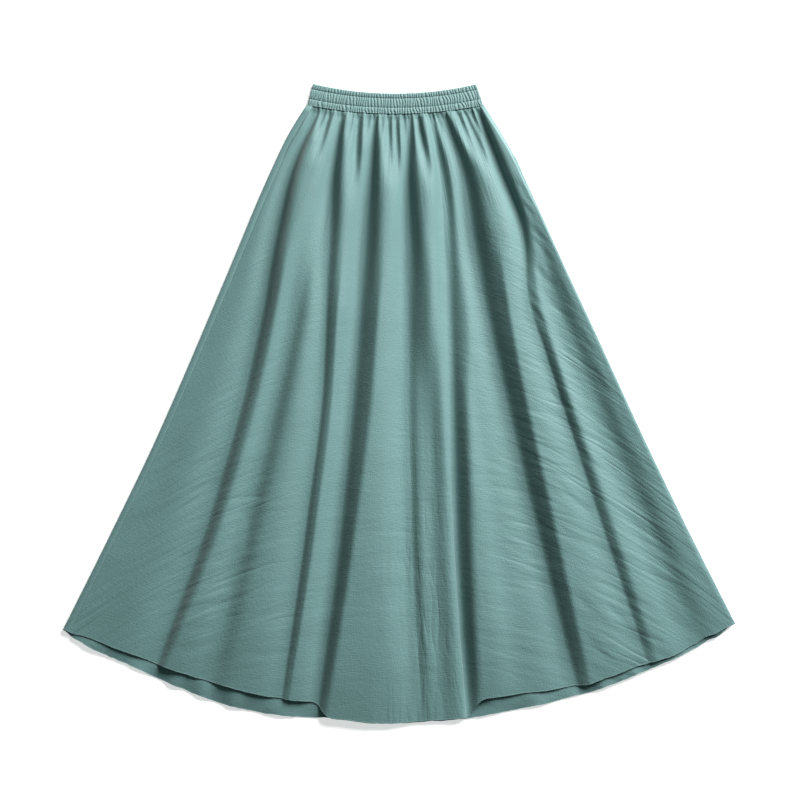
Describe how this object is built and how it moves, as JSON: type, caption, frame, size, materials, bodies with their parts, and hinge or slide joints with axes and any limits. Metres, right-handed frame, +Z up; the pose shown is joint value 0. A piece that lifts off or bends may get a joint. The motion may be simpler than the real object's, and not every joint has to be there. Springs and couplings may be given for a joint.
{
  "type": "maxi skirt",
  "caption": "Flared ankle-length skirt laid flat, with a ribbed elastic waistband, gathers below it, long soft folds and a curved hem.",
  "frame": {"origin": "middle of the bounding box in X and Y, on the surface that the skirt lies on", "axes": "+X to the right across the laid-out skirt, +Y from the hem to the waistband, +Z up off the surface"},
  "size_m": [1.0142, 0.9636, 0.0264],
  "materials": {
    "waistband_cotton": "matte gathered cotton crepe",
    "skirt_cotton": "matte crinkled cotton crepe"
  },
  "bodies": {
    "root": {"waistband_front": "waistband_cotton", "waistband_back": "waistband_cotton", "skirt_front": "skirt_cotton", "skirt_back": "skirt_cotton"}
  },
  "joints": []
}
